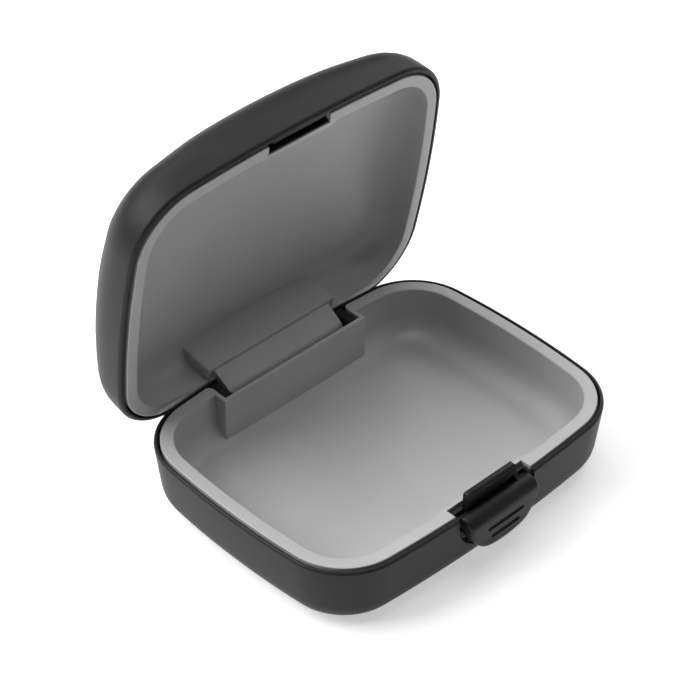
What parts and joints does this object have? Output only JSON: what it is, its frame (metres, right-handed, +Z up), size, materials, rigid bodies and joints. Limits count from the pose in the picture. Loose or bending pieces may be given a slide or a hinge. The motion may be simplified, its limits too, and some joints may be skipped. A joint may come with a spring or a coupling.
{
  "type": "hearing aid case",
  "caption": "Small hinged hard case with a domed lid, light inner trays, a sprung hinge at the rear and a rocking thumb latch at the front, for keeping hearing aids",
  "frame": {"origin": "centre of the base's flat resting face", "axes": "+X to the right along the width, +Y to the rear where the hinge is, +Z up; the latch faces -Y"},
  "size_m": [0.0802, 0.0788, 0.0733],
  "materials": {
    "shell": "fine satin moulded plastic, charcoal",
    "liner": "smooth satin moulded plastic, mid grey",
    "latch": "satin moulded plastic, near black",
    "steel": "drawn steel pin",
    "spring_wire": "drawn spring wire"
  },
  "bodies": {
    "base": {"base_shell": "shell", "base_liner": "liner", "hinge_pin": "steel", "hinge_spring": "spring_wire", "latch_pin": "steel", "latch_spring": "spring_wire"},
    "lid": {"lid_shell": "shell", "lid_liner": "liner"},
    "latch": {"latch_lever": "latch"}
  },
  "joints": [
    {"name": "lid_hinge", "type": "hinge", "parent": "base", "child": "lid", "pos_m": [0, 0.0287, 0.0128], "axis": [1, 0, 0], "range_deg": [0, 80.5], "stiffness_Nm_per_rad": 0.003, "springref_deg": -80.21, "deforming": ["hinge_spring"]},
    {"name": "latch_pivot", "type": "hinge", "parent": "base", "child": "latch", "pos_m": [0, -0.0295, 0.0123], "axis": [1, 0, 0], "range_deg": [-6, 0], "stiffness_Nm_per_rad": 0.002, "springref_deg": 17.19, "deforming": ["latch_spring"]}
  ]
}
